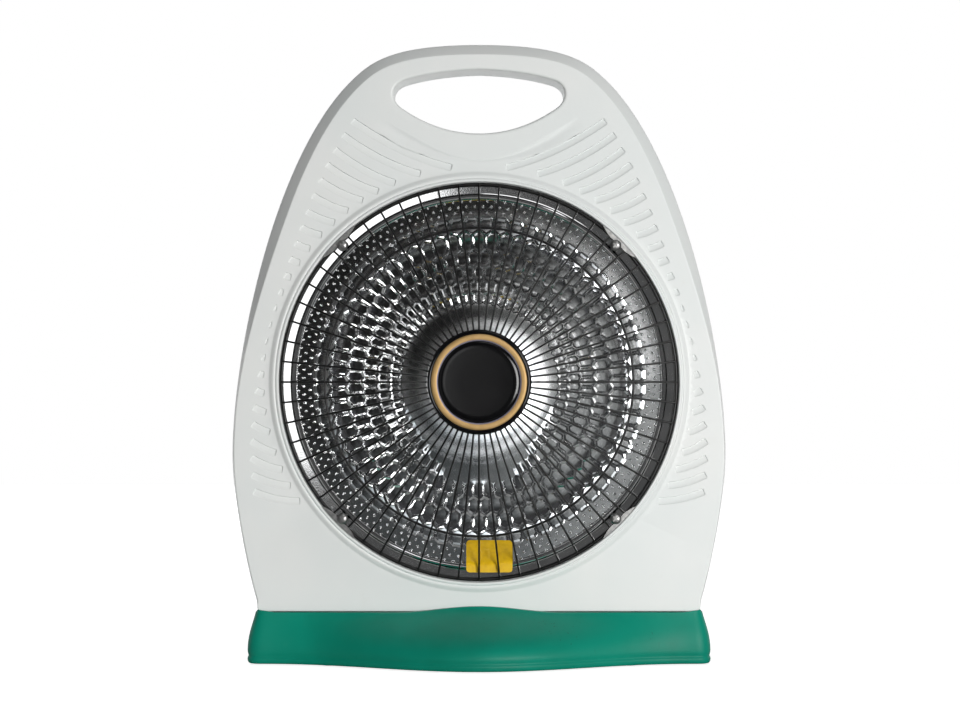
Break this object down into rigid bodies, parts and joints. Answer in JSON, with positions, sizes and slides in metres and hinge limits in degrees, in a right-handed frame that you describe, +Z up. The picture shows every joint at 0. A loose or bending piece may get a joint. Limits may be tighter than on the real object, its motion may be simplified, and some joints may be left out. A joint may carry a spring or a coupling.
{
  "type": "parabolic heater",
  "caption": "Portable electric dish heater: bright parabolic reflector behind a radial wire grille, in a moulded housing with carry handle and fluted shoulders on a flared base",
  "frame": {"origin": "centre of the overall box in plan, at the underside of the rubber feet", "axes": "+Z up; the dish faces -Y; +X to the right seen from the front"},
  "size_m": [0.3772, 0.2, 0.4705],
  "materials": {
    "white_housing": "fine moulded texture, satin",
    "teal_base": "satin moulded plastic",
    "bright_dish": "polished and embossed",
    "black_wire": "black coated steel wire",
    "black_plastic": "gloss moulded",
    "gold_trim": "bright anodised",
    "ceramic_white": "unglazed",
    "resistance_wire": "oxidised",
    "lead_insulation": "matt",
    "steel_hardware": "zinc plated",
    "foot_rubber": "matt"
  },
  "bodies": {
    "heater": {"front_housing": "white_housing", "rear_housing": "white_housing", "base_shell": "teal_base", "base_plate": "black_plastic", "reflector": "bright_dish", "wire_grille": "black_wire", "centre_cap": "black_plastic", "cap_ring": "gold_trim", "grille_hub": "black_plastic", "element_socket": "ceramic_white", "element_core": "ceramic_white", "element_coil": "resistance_wire", "element_bracket": "steel_hardware", "terminal_block": "ceramic_white", "thermal_cutout": "black_plastic", "switch_body": "black_plastic", "tip_switch": "black_plastic", "plunger_spring": "steel_hardware", "cord_gland": "black_plastic", "lead_live": "lead_insulation", "lead_switched": "lead_insulation", "lead_neutral": "lead_insulation", "grille_clip_1": "steel_hardware", "grille_clip_2": "steel_hardware", "grille_clip_3": "steel_hardware", "grille_clip_4": "steel_hardware", "clip_screw_1": "steel_hardware", "clip_screw_2": "steel_hardware", "clip_screw_3": "steel_hardware", "clip_screw_4": "steel_hardware", "case_screw_1": "steel_hardware", "case_screw_2": "steel_hardware", "case_screw_3": "steel_hardware", "case_screw_4": "steel_hardware", "case_screw_5": "steel_hardware", "case_screw_6": "steel_hardware", "body_screw_1": "steel_hardware", "body_screw_2": "steel_hardware", "plate_screw_1": "steel_hardware", "plate_screw_2": "steel_hardware", "plate_screw_3": "steel_hardware", "plate_screw_4": "steel_hardware", "rubber_foot_1": "foot_rubber", "rubber_foot_2": "foot_rubber", "rubber_foot_3": "foot_rubber", "rubber_foot_4": "foot_rubber"},
    "rocker": {"switch_rocker": "black_plastic"},
    "plunger": {"tip_plunger": "black_plastic"}
  },
  "joints": [
    {"name": "power_rocker_tilt", "type": "hinge", "parent": "heater", "child": "rocker", "pos_m": [-0.118, -0.0025, 0.078], "axis": [-1, 0, 0], "range_deg": [0, 24]},
    {"name": "tip_plunger_slide", "type": "slide", "parent": "heater", "child": "plunger", "axis": [0, 0, -1], "range_m": [0, 0.006], "stiffness_N_per_m": 150, "springref_m": 0.012}
  ]
}
